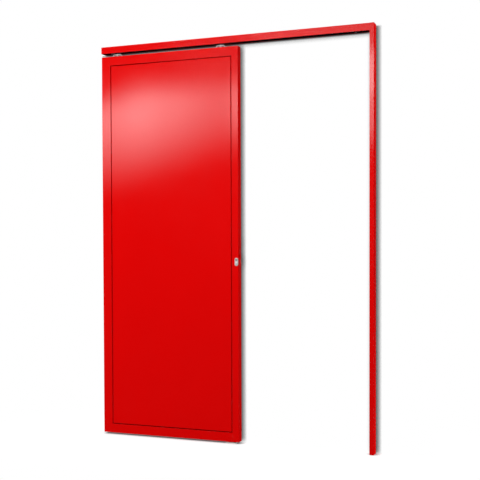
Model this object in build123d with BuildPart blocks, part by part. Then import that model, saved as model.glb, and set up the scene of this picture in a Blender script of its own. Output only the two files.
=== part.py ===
from build123d import *
from math import hypot, sqrt
import os

os.makedirs("parts", exist_ok=True)

# Overall sizes in millimetres. X runs along the track, the front faces -Y, the floor is Z = 0.
# The leaf is modelled open, with its edge flush with the left end of the track.
leaf_width = 800
leaf_height = 2065
leaf_thickness = 40
clear_width = 694
floor_gap = 9
hanger_gap = 18
frame_depth = 50
track_height = 36
post_width = 22

# Clearances shared by all pieces
loose_fit = 0.3
close_fit = 0.1
running_fit = 0.05
press_fit = 0.02

# Folded hood of the track, and the channel in it that the wheels run in
hood_wall = 2
hood_bend = 2.5
end_cap_thickness = 2
channel_wall = 2
channel_slot = 18
lintel_hole_radius = 3.5
lintel_end_margin = 88
lintel_inner_share = 0.33

# Strike post, a rectangular tube
post_wall = 2
post_cap_thickness = 2
post_foot_thickness = 3
post_spigot_height = 16
post_hole_radius = 3.5
post_access_radius = 6.5
post_end_margin = 212

# Rubber seal on the strike post
seal_projection = 5
seal_width = 10
seal_base = 1.5
seal_offset = 13
seal_end_gap = 12
closing_clearance = 0.5

# Tube profiles of the leaf frame, with a flange behind the panel
stile_left_width = 52
stile_right_width = 36
rail_width = 48
profile_wall = 2
flange_reach = 18
flange_thickness = 2.5
spigot_length = 40
spigot_headroom = 4
stile_cap_thickness = 3

# Flush panel, bedded on a gasket, with a shadow groove all round
panel_groove = 5
panel_edge = 1
gasket_thickness = 2.5
gasket_width = 15

# Floor guide and the groove that it runs in
guide_groove_width = 8
guide_groove_depth = 18
guide_fin_length = 20
guide_fin_headroom = 3
guide_base_length = 60
guide_base_width = 34
guide_base_thickness = 3
guide_base_bevel = 5
guide_fin_bevel = 2
guide_hole_spacing = 42
guide_hole_radius = 2.25

# Arched hanger brackets on the leaf's top edge
hanger_inset_left = 89
hanger_inset_right = 102
strap_thickness = 3
strap_width = 18
arch_width = 50
arch_height = 12.5
arch_shoulder = 9
foot_length = 14
backing_length = 72
backing_thickness = 5

# Hanger bolts and nuts
bolt_radius = 4
bolt_end_gap = 1
nut_across_flats = 13
nut_height = 6.5

# Two-wheel trolleys, whose bodies hang down through the channel's slot
trolley_length = 36
trolley_width = 17
trolley_rise = 6.5
trolley_drop = 14
trolley_bevel = 3
bolt_cover = 1
axle_radius = 3
axle_length = 37
wheel_radius = 11
wheel_width = 8
wheel_track = 30

# End stops in the channel
stop_length = 20
stop_width = 38
stop_height = 20
buffer_size = 12
buffer_length = 6

# Hook lock in the right stile
lock_height = 955
lock_backset = 10
case_thickness = 16
case_wall = 1.5
case_rear_gap = 1.5
case_below = 38
case_above = 92
faceplate_width = 16
faceplate_thickness = 2
faceplate_overlap = 18
strike_plate_width = 14
strike_plate_thickness = 2
strike_plate_overlap = 22

# Hook bolt
hook_rise = 55
hook_pivot_depth = 13
hook_hub_radius = 6.5
hook_pin_radius = 3
hook_arm_height = 8
hook_claw_length = 6.5
hook_claw_height = 10
hook_thickness = 5
hook_play = 1
hook_slot_gap = 1
hook_bevel = 1.5

# Profile cylinder of the lock
barrel_radius = 7
tail_width = 8
tail_drop = 17
plug_radius = 5
plug_proud = 1
cam_width = 9.4
cam_gap = 10
cam_hub_radius = 6.5
cam_radius = 9
cam_lug_width = 5
keyway_width = 1.6
keyway_height = 6.5
keyway_depth = 18
escutcheon_width = 19
escutcheon_height = 42.5
escutcheon_thickness = 6
escutcheon_drop = 10
escutcheon_slope = 15

# Places worked out from the sizes
frame_width = leaf_width + clear_width + post_width
frame_left = -frame_width / 2
frame_right = frame_width / 2
post_left = frame_right - post_width
post_middle = frame_right - post_width / 2
leaf_left = frame_left
leaf_right = leaf_left + leaf_width
leaf_bottom = floor_gap
leaf_top = floor_gap + leaf_height
leaf_back = leaf_thickness / 2
track_bottom = leaf_top + hanger_gap
frame_top = track_bottom + track_height
hood_left = frame_left + end_cap_thickness
hood_length = post_left - hood_left
closing_gap = seal_projection + closing_clearance
leaf_travel = clear_width - closing_gap

channel_top = frame_top - hood_wall
channel_width = frame_depth - 2 * hood_wall
channel_height = channel_top - track_bottom
lip_top = track_bottom + channel_wall
axle_level = lip_top + loose_fit + wheel_radius
lintel_spacing = frame_width - 2 * lintel_end_margin
lintel_places = [
    (side * share * lintel_spacing / 2, 0) for share in (1, lintel_inner_share) for side in (-1, 1)
]

post_bottom = post_foot_thickness
post_top = frame_top - post_cap_thickness
post_places = [(0, post_bottom + post_end_margin), (0, post_top - post_end_margin)]

opening_left = leaf_left + stile_left_width
opening_right = leaf_right - stile_right_width
opening_bottom = leaf_bottom + rail_width
opening_top = leaf_top - rail_width
opening_width = opening_right - opening_left
opening_height = opening_top - opening_bottom
opening_centre = ((opening_left + opening_right) / 2, (opening_bottom + opening_top) / 2)
stile_left_middle = leaf_left + stile_left_width / 2
stile_right_middle = leaf_right - stile_right_width / 2
cavity_depth = leaf_thickness - 2 * profile_wall
flange_front = leaf_back - flange_thickness
panel_back = flange_front - gasket_thickness
panel_thickness = leaf_back + panel_back

hangers = {"left": leaf_left + hanger_inset_left, "right": leaf_right - hanger_inset_right}
arch_underside = leaf_top + arch_height - strap_thickness
bolt_top = axle_level - axle_radius - bolt_cover
guide_place = (opening_right + opening_left + leaf_travel) / 2

lock_x = leaf_right - lock_backset
lock_z = leaf_bottom + lock_height
plug_reach = leaf_back + escutcheon_thickness + plug_proud
cylinder_height = barrel_radius + tail_drop + tail_width / 2
cylinder_middle = lock_z + barrel_radius - cylinder_height / 2
cam_sweep = hypot(cam_radius, cam_lug_width / 2)
case_depth = stile_right_width - profile_wall - case_rear_gap
case_height = case_below + case_above
case_middle = lock_z + (case_above - case_below) / 2
hook_x = leaf_right - hook_pivot_depth
hook_z = lock_z + hook_rise

# The hook's claw passes the post's wall before it turns up behind it
claw_start = hook_pivot_depth + closing_gap + post_wall + hook_play
hook_reach = claw_start + hook_claw_length
hook_sweep = hypot(hook_reach, hook_claw_height)
slot_width = hook_thickness + 2 * hook_slot_gap
slot_top = hook_z + hook_arm_height / 2 + hook_slot_gap
slot_bottom = hook_z - sqrt(hook_sweep**2 - hook_pivot_depth**2) - hook_slot_gap
slot_height = slot_top - slot_bottom
slot_middle = (slot_top + slot_bottom) / 2
faceplate_height = case_height + 2 * faceplate_overlap
strike_plate_height = slot_height + 2 * strike_plate_overlap


def write(part, name):
    """Label a finished piece and write it to its own file."""
    part.label = name
    export_step(part, f"parts/{name}.step")


def hood_outline():
    """The track's outer section, with its two upper corners bent round."""
    with Locations((0, (track_bottom + frame_top) / 2)):
        Rectangle(frame_depth, track_height)
    fillet(vertices().group_by(Axis.Y)[-1], hood_bend)


def hollow_profile(width, depth):
    """The section of a rectangular tube."""
    Rectangle(width, depth)
    Rectangle(width - 2 * profile_wall, depth - 2 * profile_wall, mode=Mode.SUBTRACT)


def cylinder_window():
    """The window for the lock cylinder in the stile and the case, hidden by the escutcheons."""
    with Locations((lock_x, cylinder_middle)):
        Rectangle(2 * (barrel_radius + loose_fit), cylinder_height + 2 * loose_fit)


# Track: folded hood, end cap and running channel
with BuildPart() as track_hood:
    with BuildSketch(Plane.YZ.offset(hood_left)):
        hood_outline()
        with Locations((0, track_bottom)):
            Rectangle(channel_width, 2 * (track_height - hood_wall), mode=Mode.SUBTRACT)
    extrude(amount=hood_length)
    with BuildSketch(Plane.XY.offset(frame_top)):
        with Locations(*lintel_places):
            Circle(lintel_hole_radius)
    extrude(amount=-2 * hood_wall, mode=Mode.SUBTRACT)
write(track_hood.part, "track_hood")

with BuildPart() as track_end_cap:
    with BuildSketch(Plane.YZ.offset(frame_left)):
        hood_outline()
    extrude(amount=end_cap_thickness)
write(track_end_cap.part, "track_end_cap")

with BuildPart() as running_track:
    with BuildSketch(Plane.YZ.offset(hood_left)):
        with Locations((0, (track_bottom + channel_top) / 2)):
            Rectangle(channel_width, channel_height)
            Rectangle(
                channel_width - 2 * channel_wall, channel_height - 2 * channel_wall, mode=Mode.SUBTRACT
            )
        with Locations((0, track_bottom)):
            Rectangle(channel_slot, 3 * channel_wall, mode=Mode.SUBTRACT)
    extrude(amount=hood_length)
    with BuildSketch(Plane.XY.offset(channel_top)):
        with Locations(*lintel_places):
            Circle(lintel_hole_radius)
    extrude(amount=-2 * channel_wall, mode=Mode.SUBTRACT)
write(running_track.part, "running_track")

# Strike post: tube with wall fixing holes, the access holes to reach them, and the hook's slot
with BuildPart() as strike_post:
    with BuildSketch(Plane.XY.offset(post_bottom)):
        with Locations((post_middle, 0)):
            Rectangle(post_width, frame_depth)
            Rectangle(post_width - 2 * post_wall, frame_depth - 2 * post_wall, mode=Mode.SUBTRACT)
    extrude(amount=post_top - post_bottom)
    with BuildSketch(Plane.YZ.offset(frame_right)):
        with Locations(*post_places):
            Circle(post_hole_radius)
    extrude(amount=-2 * post_wall, mode=Mode.SUBTRACT)
    with BuildSketch(Plane.YZ.offset(post_left)):
        with Locations(*post_places):
            Circle(post_access_radius)
        with Locations((0, slot_middle)):
            Rectangle(slot_width, slot_height)
    extrude(amount=2 * post_wall, mode=Mode.SUBTRACT)
write(strike_post.part, "strike_post")

with BuildPart() as post_top_cap:
    with BuildSketch(Plane.XY.offset(post_top)):
        with Locations((post_middle, 0)):
            Rectangle(post_width, frame_depth)
    extrude(amount=post_cap_thickness)
write(post_top_cap.part, "post_top_cap")

with BuildPart() as post_foot:
    with BuildSketch(Plane.XY):
        with Locations((post_middle, 0)):
            Rectangle(post_width, frame_depth)
    extrude(amount=post_foot_thickness)
    with BuildSketch(Plane.XY.offset(post_foot_thickness)):
        with Locations((post_middle, 0)):
            Rectangle(
                post_width - 2 * (post_wall + close_fit), frame_depth - 2 * (post_wall + close_fit)
            )
    extrude(amount=post_spigot_height)
write(post_foot.part, "post_foot")

# Strike plate and rubber seal on the post
with BuildPart() as strike_plate:
    with BuildSketch(Plane.YZ.offset(post_left)):
        with Locations((0, slot_middle)):
            Rectangle(strike_plate_width, strike_plate_height)
            Rectangle(slot_width, slot_height, mode=Mode.SUBTRACT)
    extrude(amount=-strike_plate_thickness)
write(strike_plate.part, "strike_plate")

with BuildPart() as closing_seal:
    bead_radius = seal_projection - seal_base
    with BuildSketch(Plane.XY.offset(leaf_bottom + seal_end_gap)):
        with Locations((post_left, seal_offset)):
            Rectangle(seal_base, seal_width, align=(Align.MAX, Align.CENTER))
        with BuildLine(Location((post_left - seal_base, seal_offset))):
            ThreePointArc((0, -bead_radius), (-bead_radius, 0), (0, bead_radius))
            Line((0, bead_radius), (0, -bead_radius))
        make_face()
    extrude(amount=leaf_height - 2 * seal_end_gap)
write(closing_seal.part, "closing_seal")

# End stops clamped in the channel, each with a rubber buffer towards the trolley that it meets
stop_faces = {
    "left": (hangers["left"] - trolley_length / 2 - closing_clearance, -1),
    "right": (hangers["right"] + leaf_travel + trolley_length / 2 + closing_clearance, 1),
}
for side, (face, way) in stop_faces.items():
    with BuildPart() as end_stop:
        with BuildSketch(Plane.XY.offset(lip_top)):
            with Locations((face + way * (buffer_length + stop_length / 2), 0)):
                Rectangle(stop_length, stop_width)
        extrude(amount=stop_height)
    write(end_stop.part, f"end_stop_{side}")

    with BuildPart() as stop_buffer:
        with BuildSketch(Plane.YZ.offset(face)):
            with Locations((0, axle_level)):
                Rectangle(buffer_size, buffer_size)
        extrude(amount=way * buffer_length)
    write(stop_buffer.part, f"stop_buffer_{side}")

# Floor guide: a fin on a screwed base, under the leaf at both ends of its travel
with BuildPart() as floor_guide:
    with BuildSketch(Plane.XY):
        with Locations((guide_place, 0)):
            Rectangle(guide_base_length, guide_base_width)
            chamfer(vertices(), guide_base_bevel)
            with GridLocations(guide_hole_spacing, 0, 2, 1):
                Circle(guide_hole_radius, mode=Mode.SUBTRACT)
    extrude(amount=guide_base_thickness)
    with BuildSketch(Plane.XY.offset(guide_base_thickness)):
        with Locations((guide_place, 0)):
            Rectangle(guide_fin_length, guide_groove_width - 2 * loose_fit)
        chamfer(vertices(), guide_fin_bevel)
    extrude(amount=leaf_bottom + guide_groove_depth - guide_fin_headroom - guide_base_thickness)
write(floor_guide.part, "floor_guide")

# Leaf frame: two full-height stiles, with the rails butted between them
with BuildPart() as stile_left:
    with BuildSketch(Plane.XY.offset(leaf_bottom)):
        with Locations((stile_left_middle, 0)):
            hollow_profile(stile_left_width, leaf_thickness)
    extrude(amount=leaf_height)
    with BuildSketch(Plane.XY.offset(opening_bottom)):
        with Locations((opening_left - profile_wall, leaf_back)):
            Rectangle(flange_reach + profile_wall, flange_thickness, align=(Align.MIN, Align.MAX))
    extrude(amount=opening_height)
write(stile_left.part, "stile_left")

with BuildPart() as stile_right:
    with BuildSketch(Plane.XY.offset(leaf_bottom)):
        with Locations((stile_right_middle, 0)):
            hollow_profile(stile_right_width, leaf_thickness)
    extrude(amount=leaf_height)
    with BuildSketch(Plane.XY.offset(opening_bottom)):
        with Locations((opening_right + profile_wall, leaf_back)):
            Rectangle(flange_reach + profile_wall, flange_thickness, align=(Align.MAX, Align.MAX))
    extrude(amount=opening_height)
    with BuildSketch(Plane.XZ):
        cylinder_window()
    extrude(amount=leaf_thickness, both=True, mode=Mode.SUBTRACT)
    with BuildSketch(Plane.YZ.offset(leaf_right)):
        with Locations((0, case_middle)):
            Rectangle(case_thickness + 2 * close_fit, case_height + 2 * close_fit)
    extrude(amount=-2 * profile_wall, mode=Mode.SUBTRACT)
write(stile_right.part, "stile_right")

with BuildPart() as rail_top:
    with BuildSketch(Plane.YZ.offset(opening_left)):
        with Locations((0, leaf_top - rail_width / 2)):
            hollow_profile(leaf_thickness, rail_width)
    extrude(amount=opening_width)
    with BuildSketch(Plane.YZ.offset(opening_left + flange_reach)):
        with Locations((leaf_back, opening_top + profile_wall)):
            Rectangle(flange_thickness, flange_reach + profile_wall, align=(Align.MAX, Align.MAX))
    extrude(amount=opening_width - 2 * flange_reach)
write(rail_top.part, "rail_top")

with BuildPart() as rail_bottom:
    with BuildSketch(Plane.YZ.offset(opening_left)):
        with Locations((0, leaf_bottom + rail_width / 2)):
            hollow_profile(leaf_thickness, rail_width)
        with Locations((0, leaf_bottom)):
            Rectangle(
                guide_groove_width + 2 * profile_wall,
                guide_groove_depth + profile_wall,
                align=(Align.CENTER, Align.MIN),
            )
            Rectangle(guide_groove_width, 2 * guide_groove_depth, mode=Mode.SUBTRACT)
    extrude(amount=opening_width)
    with BuildSketch(Plane.YZ.offset(opening_left + flange_reach)):
        with Locations((leaf_back, opening_bottom - profile_wall)):
            Rectangle(flange_thickness, flange_reach + profile_wall, align=(Align.MAX, Align.MIN))
    extrude(amount=opening_width - 2 * flange_reach)
write(rail_bottom.part, "rail_bottom")

# Spigots that join rails to stiles: below the backing plates above, over the guide groove below
top_spigot_height = rail_width - 2 * profile_wall - backing_thickness - spigot_headroom
bottom_spigot_height = rail_width - 2 * profile_wall - guide_groove_depth - spigot_headroom
with BuildPart() as rail_spigots:
    for x, side in ((opening_left, Align.MIN), (opening_right, Align.MAX)):
        with Locations((x, 0, opening_top + profile_wall)):
            Box(
                spigot_length,
                cavity_depth - 2 * close_fit,
                top_spigot_height,
                align=(side, Align.CENTER, Align.MIN),
            )
        with Locations((x, 0, opening_bottom - profile_wall)):
            Box(
                spigot_length,
                cavity_depth - 2 * close_fit,
                bottom_spigot_height,
                align=(side, Align.CENTER, Align.MAX),
            )
write(rail_spigots.part, "rail_spigots")

with BuildPart() as stile_caps:
    for x, width in ((stile_left_middle, stile_left_width), (stile_right_middle, stile_right_width)):
        for z, side in ((leaf_bottom, Align.MIN), (leaf_top, Align.MAX)):
            with Locations((x, 0, z)):
                Box(
                    width - 2 * (profile_wall + close_fit),
                    cavity_depth - 2 * close_fit,
                    stile_cap_thickness,
                    align=(Align.CENTER, Align.CENTER, side),
                )
write(stile_caps.part, "stile_caps")

# Flush panel on its gasket
with BuildPart() as panel:
    with BuildSketch(Plane.XZ.offset(leaf_back)):
        with Locations(opening_centre):
            Rectangle(opening_width - 2 * panel_groove, opening_height - 2 * panel_groove)
    extrude(amount=-panel_thickness)
    fillet(faces().sort_by(Axis.Y)[0].edges(), panel_edge)
write(panel.part, "panel")

with BuildPart() as panel_gasket:
    with BuildSketch(Plane.XZ.offset(-panel_back)):
        with Locations(opening_centre):
            Rectangle(opening_width, opening_height)
            Rectangle(
                opening_width - 2 * gasket_width, opening_height - 2 * gasket_width, mode=Mode.SUBTRACT
            )
    extrude(amount=-gasket_thickness)
write(panel_gasket.part, "panel_gasket")

# Hangers: arched bracket on the top rail, bolt and nut, and a trolley with a wheelset
for side, x in hangers.items():
    with BuildPart() as hanger_bracket:
        with BuildSketch(Plane.XZ):
            with Locations((x, leaf_top)):
                Rectangle(
                    arch_width + 2 * foot_length, strap_thickness, align=(Align.CENTER, Align.MIN)
                )
                Rectangle(arch_width, arch_height, align=(Align.CENTER, Align.MIN))
            fillet(vertices().group_by(Axis.Y)[-1], arch_shoulder)
            with Locations((x, leaf_top)):
                Rectangle(
                    arch_width - 2 * strap_thickness,
                    2 * (arch_height - strap_thickness),
                    mode=Mode.SUBTRACT,
                )
            fillet(vertices().group_by(Axis.Y)[-2], arch_shoulder - strap_thickness)
        extrude(amount=strap_width / 2, both=True)
        with BuildSketch(Plane.XY.offset(leaf_top + arch_height)):
            with Locations((x, 0)):
                Circle(bolt_radius + close_fit)
        extrude(amount=-2 * strap_thickness, mode=Mode.SUBTRACT)
    write(hanger_bracket.part, f"hanger_bracket_{side}")

    with BuildPart() as trolley:
        with BuildSketch(Plane.XZ):
            with Locations((x, axle_level + (trolley_rise - trolley_drop) / 2)):
                Rectangle(trolley_length, trolley_rise + trolley_drop)
            chamfer(vertices(), trolley_bevel)
            with Locations((x, axle_level)):
                Circle(axle_radius + running_fit, mode=Mode.SUBTRACT)
        extrude(amount=trolley_width / 2, both=True)
        with BuildSketch(Plane.XY.offset(bolt_top)):
            with Locations((x, 0)):
                Circle(bolt_radius + press_fit)
        extrude(amount=-trolley_drop, mode=Mode.SUBTRACT)
    write(trolley.part, f"trolley_{side}")

    with BuildPart() as axle:
        with BuildSketch(Plane.XZ):
            with Locations((x, axle_level)):
                Circle(axle_radius)
        extrude(amount=axle_length / 2, both=True)
    write(axle.part, f"axle_{side}")

    for face, y in (("front", -wheel_track / 2), ("back", wheel_track / 2)):
        with BuildPart() as wheel:
            with BuildSketch(Plane.XZ.offset(-y)):
                with Locations((x, axle_level)):
                    Circle(wheel_radius)
                    Circle(axle_radius + press_fit, mode=Mode.SUBTRACT)
            extrude(amount=wheel_width / 2, both=True)
        write(wheel.part, f"wheel_{side}_{face}")

hanger_places = [(x, 0) for x in hangers.values()]
with BuildPart() as hanger_bolts:
    with BuildSketch(Plane.XY.offset(leaf_top + bolt_end_gap)):
        with Locations(*hanger_places):
            Circle(bolt_radius)
    extrude(amount=bolt_top - leaf_top - bolt_end_gap)
write(hanger_bolts.part, "hanger_bolts")

with BuildPart() as hanger_nuts:
    with BuildSketch(Plane.XY.offset(arch_underside)):
        with Locations(*hanger_places):
            RegularPolygon(nut_across_flats / 2, 6, major_radius=False)
            Circle(bolt_radius + press_fit, mode=Mode.SUBTRACT)
    extrude(amount=-nut_height)
write(hanger_nuts.part, "hanger_nuts")

with BuildPart() as hanger_backing_plates:
    with BuildSketch(Plane.XY.offset(leaf_top - profile_wall)):
        with Locations(*hanger_places):
            Rectangle(backing_length, strap_width)
    extrude(amount=-backing_thickness)
write(hanger_backing_plates.part, "hanger_backing_plates")

# Lock case, open towards its faceplate
with BuildPart() as lock_case:
    with BuildSketch(Plane.YZ.offset(leaf_right)):
        with Locations((0, case_middle)):
            Rectangle(case_thickness, case_height)
    extrude(amount=-case_depth)
    with BuildSketch(Plane.YZ.offset(leaf_right)):
        with Locations((0, case_middle)):
            Rectangle(case_thickness - 2 * case_wall, case_height - 2 * case_wall)
    extrude(amount=case_wall - case_depth, mode=Mode.SUBTRACT)
    with BuildSketch(Plane.XZ):
        cylinder_window()
        with Locations((hook_x, hook_z)):
            Circle(hook_pin_radius + press_fit)
    extrude(amount=case_thickness, both=True, mode=Mode.SUBTRACT)
write(lock_case.part, "lock_case")

with BuildPart() as lock_faceplate:
    with BuildSketch(Plane.YZ.offset(leaf_right)):
        with Locations((0, case_middle)):
            Rectangle(faceplate_width, faceplate_height)
        with Locations((0, slot_middle)):
            Rectangle(slot_width, slot_height, mode=Mode.SUBTRACT)
    extrude(amount=faceplate_thickness)
write(lock_faceplate.part, "lock_faceplate")

# Hook bolt, hanging retracted in the case with its claw towards the faceplate
with BuildPart() as hook_bolt:
    with BuildSketch(Plane((hook_x, 0, hook_z), x_dir=(0, 0, -1), z_dir=(0, -1, 0))):
        Rectangle(hook_reach, hook_arm_height, align=(Align.MIN, Align.CENTER))
        with Locations((hook_reach, -hook_arm_height / 2)):
            Rectangle(
                hook_claw_length,
                hook_arm_height / 2 + hook_claw_height,
                align=(Align.MAX, Align.MIN),
            )
        chamfer(vertices().group_by(Axis.X)[-1], hook_bevel)
        Circle(hook_hub_radius)
        Circle(hook_pin_radius + running_fit, mode=Mode.SUBTRACT)
    extrude(amount=hook_thickness / 2, both=True)
write(hook_bolt.part, "hook_bolt")

with BuildPart() as hook_pivot_pin:
    with BuildSketch(Plane.XZ):
        with Locations((hook_x, hook_z)):
            Circle(hook_pin_radius)
    extrude(amount=case_thickness / 2, both=True)
write(hook_pivot_pin.part, "hook_pivot_pin")

# Profile cylinder: body with a gap for the cam, two plugs, cam, and the escutcheons that cover it
with BuildPart() as cylinder_body:
    with BuildSketch(Plane.XZ):
        with Locations((lock_x, lock_z)):
            Circle(barrel_radius)
        with Locations((lock_x, lock_z - tail_drop / 2)):
            Rectangle(tail_width, tail_drop)
        with Locations((lock_x, lock_z - tail_drop)):
            Circle(tail_width / 2)
        with Locations((lock_x, lock_z)):
            Circle(plug_radius + running_fit, mode=Mode.SUBTRACT)
    extrude(amount=leaf_back, both=True)
    with BuildSketch(Plane.XZ):
        with Locations((lock_x, lock_z - cam_sweep - loose_fit)):
            Rectangle(2 * cam_sweep, 3 * cam_sweep, align=(Align.CENTER, Align.MIN))
    extrude(amount=cam_gap / 2, both=True, mode=Mode.SUBTRACT)
write(cylinder_body.part, "cylinder_body")

for side, way, plug_start in (("front", 1, cam_width / 2), ("back", -1, cam_gap / 2)):
    plug_end = way * plug_reach
    with BuildPart() as plug:
        with BuildSketch(Plane.XZ.offset(plug_end)):
            with Locations((lock_x, lock_z)):
                Circle(plug_radius)
        extrude(amount=way * plug_start - plug_end)
        with BuildSketch(Plane.XZ.offset(plug_end)):
            with Locations((lock_x, lock_z)):
                Rectangle(keyway_width, keyway_height)
        extrude(amount=-way * keyway_depth, mode=Mode.SUBTRACT)
    write(plug.part, f"plug_{side}")

    with BuildPart() as escutcheon:
        with BuildSketch(Plane.XZ.offset(way * leaf_back)):
            with Locations((lock_x, lock_z - escutcheon_drop)):
                SlotOverall(escutcheon_height, escutcheon_width, rotation=90)
        extrude(amount=way * escutcheon_thickness, taper=escutcheon_slope)
        with BuildSketch(Plane.XZ.offset(way * leaf_back)):
            with Locations((lock_x, lock_z)):
                Circle(plug_radius + loose_fit)
        extrude(amount=way * escutcheon_thickness, mode=Mode.SUBTRACT)
    write(escutcheon.part, f"escutcheon_{side}")

with BuildPart() as lock_cam:
    with BuildSketch(Plane.XZ):
        with Locations((lock_x, lock_z)):
            Circle(cam_hub_radius)
            Rectangle(cam_lug_width, cam_radius, align=(Align.CENTER, Align.MIN))
    extrude(amount=cam_width / 2, both=True)
write(lock_cam.part, "lock_cam")
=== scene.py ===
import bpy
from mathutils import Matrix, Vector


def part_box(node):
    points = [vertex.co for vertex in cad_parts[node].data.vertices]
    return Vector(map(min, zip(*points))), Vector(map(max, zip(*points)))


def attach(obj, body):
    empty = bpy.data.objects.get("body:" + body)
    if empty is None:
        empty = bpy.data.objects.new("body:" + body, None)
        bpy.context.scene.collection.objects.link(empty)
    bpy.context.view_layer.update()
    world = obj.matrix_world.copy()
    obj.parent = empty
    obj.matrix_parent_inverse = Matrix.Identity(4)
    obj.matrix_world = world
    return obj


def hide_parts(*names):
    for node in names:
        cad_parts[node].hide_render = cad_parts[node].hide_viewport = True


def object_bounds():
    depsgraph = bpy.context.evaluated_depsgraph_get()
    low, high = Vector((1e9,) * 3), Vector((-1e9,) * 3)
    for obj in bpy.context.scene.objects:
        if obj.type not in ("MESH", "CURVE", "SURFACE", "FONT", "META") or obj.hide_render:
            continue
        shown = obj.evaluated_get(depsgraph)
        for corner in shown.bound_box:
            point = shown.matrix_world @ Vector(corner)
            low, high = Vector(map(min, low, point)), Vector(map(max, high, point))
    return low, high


bl_info = {
    "name": "Sliding Door Looks",
    "version": (1, 0, 0),
    "blender": (4, 5, 0),
    "location": "3D View > Sidebar > Door",
    "description": "Dresses the packed sliding door with its finishes, small screws and studio",
    "category": "Object",
}

from math import cos, pi, radians, sin
from typing import NamedTuple

import bmesh
import bpy
from bpy.props import FloatProperty, FloatVectorProperty, PointerProperty
from mathutils import Matrix, Vector

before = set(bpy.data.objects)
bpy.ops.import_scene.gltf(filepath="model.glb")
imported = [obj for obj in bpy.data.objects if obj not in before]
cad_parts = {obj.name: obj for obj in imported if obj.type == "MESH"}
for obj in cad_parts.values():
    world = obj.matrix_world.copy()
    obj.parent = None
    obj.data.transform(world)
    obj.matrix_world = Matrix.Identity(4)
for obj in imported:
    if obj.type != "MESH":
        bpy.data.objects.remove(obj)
cad_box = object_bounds()

IMAGE_WIDTH = 480
SENSOR_WIDTH = 36.0
MILLIMETRE = 0.001
TURN = 2 * pi
WHITE = (1.0, 1.0, 1.0, 1.0)
EVEN = (1.0, 1.0, 1.0)

# Finishes. Scales of noises are counts to the metre.
NOISE_SPAN = (0.3, 0.7)
EDGE_COSINE = 0.75
PAINT_TONE_SCALE = 5.0
# Edge lightening of the red coat: partly worn thin coat, partly a painted highlight along sharp edges.
PAINT_EDGE_WEAR_AND_HIGHLIGHT_SCALE = 30.0
PAINT_EDGE_WEAR_AND_HIGHLIGHT = (0.4, 0.6)
PAINT_EDGE_TINT = 1.06
PAINT_GLOSS_SCALE = 9.0
PAINT_GLOSS_SWAY = 0.1
PAINT_RIPPLE_SCALE = 700.0
METAL_TINTS = (0.9, 1.06)
METAL_GLOSS_SWAY = 0.2
METAL_EDGE = 0.4 * MILLIMETRE
METAL_GRAIN_DEPTH = 0.02 * MILLIMETRE
CHROME_GRAIN_DEPTH = 0.004 * MILLIMETRE
THREAD_SHADE_AND_HIGHLIGHT_TINTS = (0.72, 1.05)
THREAD_ROUGHNESS = (0.2, 0.34)
THREAD_GLOSS_SCALE = 300.0
THREAD_DEPTH = 0.4 * MILLIMETRE
THREAD_PITCH = 1.25 * MILLIMETRE
WAVE_RADIANS = 20.0
PLASTIC_TINTS = (0.85, 1.15)
PLASTIC_TONE_SCALE = 25.0
PLASTIC_GLOSS_SCALE = 60.0
PLASTIC_GLOSS_SWAY = 0.1
PLASTIC_GRAIN_SCALE = 450.0
PLASTIC_GRAIN_DEPTH = 0.04 * MILLIMETRE
PLASTIC_EDGE = 0.5 * MILLIMETRE

# Small pieces. Profiles and hole edges are pairs of shares: of the radius and of the height.
HEAD_STEPS = 48
PAN_PROFILE = ((1.0, 0.0), (1.0, 0.35), (0.93, 0.68), (0.76, 0.92), (0.58, 1.0))
FLAT_PROFILE = ((1.0, 0.0), (0.97, 0.7), (0.9, 1.0), (0.6, 1.0))
SOCKET_TAPER = 0.97
FLAT_SOCKET_SHARE = 0.8
STOP_HEAD_SHARE = 0.7
TRACK_MIDDLE = 0.0
COVER_STEPS = 96
COVER_RIM_STEPS = 10
COVER_HOLE_GAP = 0.3 * MILLIMETRE
COVER_LAND_SHARE = 1.12
COVER_SIDE_SHARE = 0.3
COVER_RIM_SHARE = 0.9
COVER_HOLE_EDGE = ((1.03, 0.96), (1.0, 0.88), (1.0, 0.0))

# Floor and backdrop, with their painted shadows.
FLOOR_REACH = 1.2
FLOOR_FADE = (0.08, 0.8)
FLOOR_SHADOW_DEPTH = 2.0
FLOOR_SHADOW_LEAN = (-0.4, -0.4, 0.0)
BACKDROP_SHADOW_DEPTH = 2.4
BACKDROP_SHADOW_LEAN = (-0.5, 0.0, -0.25)
BACKDROP_PAST_POST = 0.3
BACKDROP_FADE = 0.01
# The painted band of shade under the track: its height, darkness and fade before the post.
TRACK_BAND = 0.008
TRACK_BAND_DEPTH = 0.85
TRACK_BAND_END = 0.03

# Directions in which gloss sees the dark flags and the dark ground.
FLAG_INNER = radians(38.0)
FLAG_OUTER = radians(58.0)
GROUND_RISE = (-0.8, -0.35)

# The glow of the leaf's softbox, in metres of the room.
GLOW_SLOPE = 0.25
GLOW_SHOULDER = -2.65
GLOW_TOP = (2.8, 2.52)
GLOW_FOOT = 2.307
GLOW_FULL = 2.55
GLOW_STEPS = (
    (-3.4, -2.7, (0.5, 1.0)),
    (-2.7, -1.75, (1.0, 0.37)),
    (-1.72, -1.5, (1.0, 1.8)),
)


class LampPlan(NamedTuple):
    """A round lamp: where it hangs, what it looks at, its width and the value that holds its power."""

    name: str
    place: tuple
    aim: tuple
    width: float
    power: str


class SoftboxPlan(NamedTuple):
    """A softbox before the door: its middle, its width and height, its share of the full radiance."""

    name: str
    middle: tuple
    size: tuple
    share: float


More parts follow.
